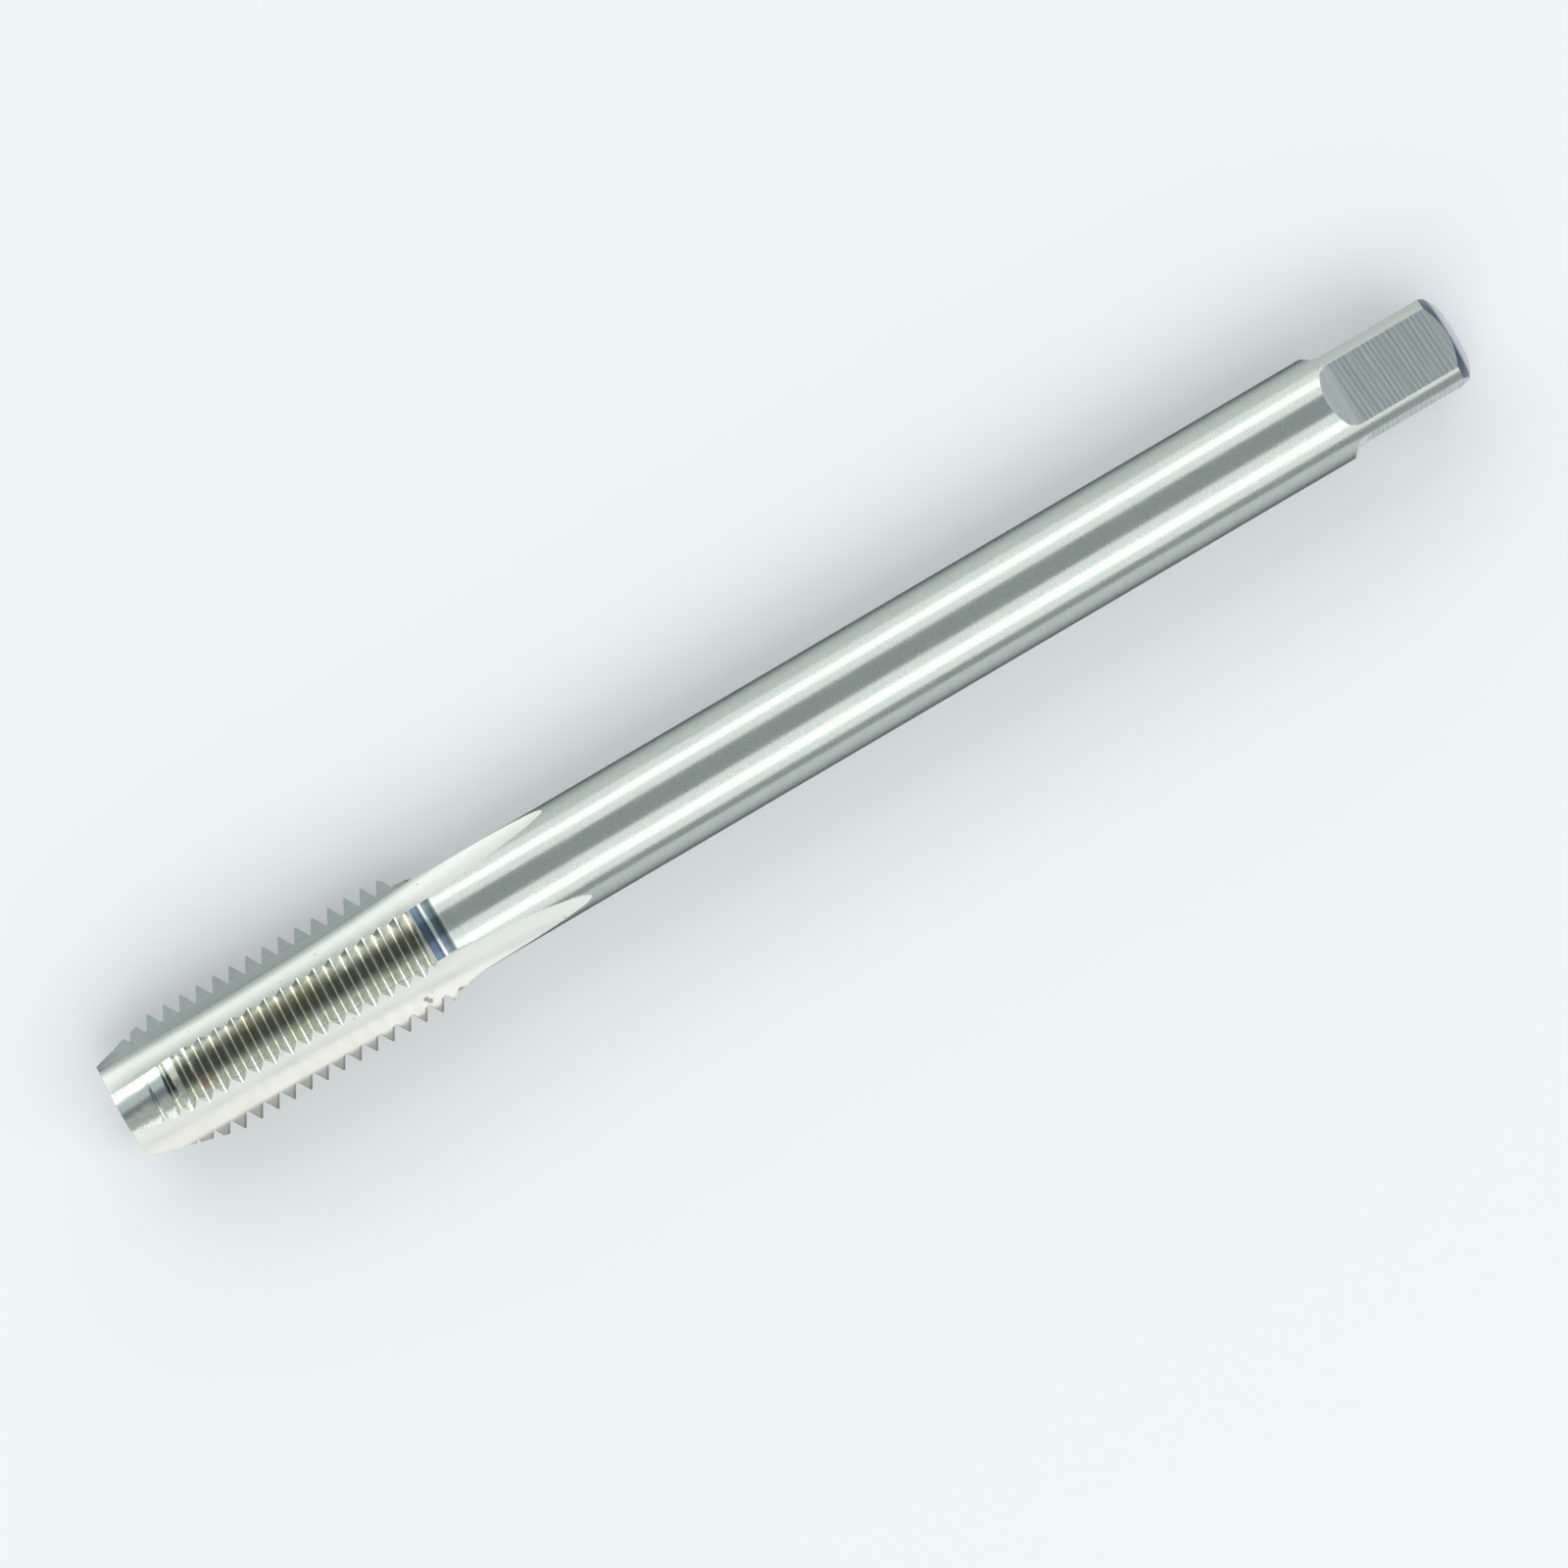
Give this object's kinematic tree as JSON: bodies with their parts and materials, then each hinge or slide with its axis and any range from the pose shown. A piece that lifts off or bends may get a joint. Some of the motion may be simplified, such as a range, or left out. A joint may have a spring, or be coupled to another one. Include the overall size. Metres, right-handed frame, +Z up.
{
  "type": "thread tap",
  "caption": "Straight-flute thread tap with a left-hand thread, a tapered cutting lead, a slimmer round shank and a driving square, for cutting a thread in a drilled hole.",
  "frame": {"origin": "centre of the front face, on the tap's axis", "axes": "+X along the axis from the cutting end to the driving square, +Z up with the tap lying on two of its lands"},
  "size_m": [0.081, 0.0078, 0.0072],
  "materials": {
    "tool_steel": "ground, satin on the shank and bright on the thread"
  },
  "bodies": {
    "root": {"thread_tap": "tool_steel"}
  },
  "joints": []
}
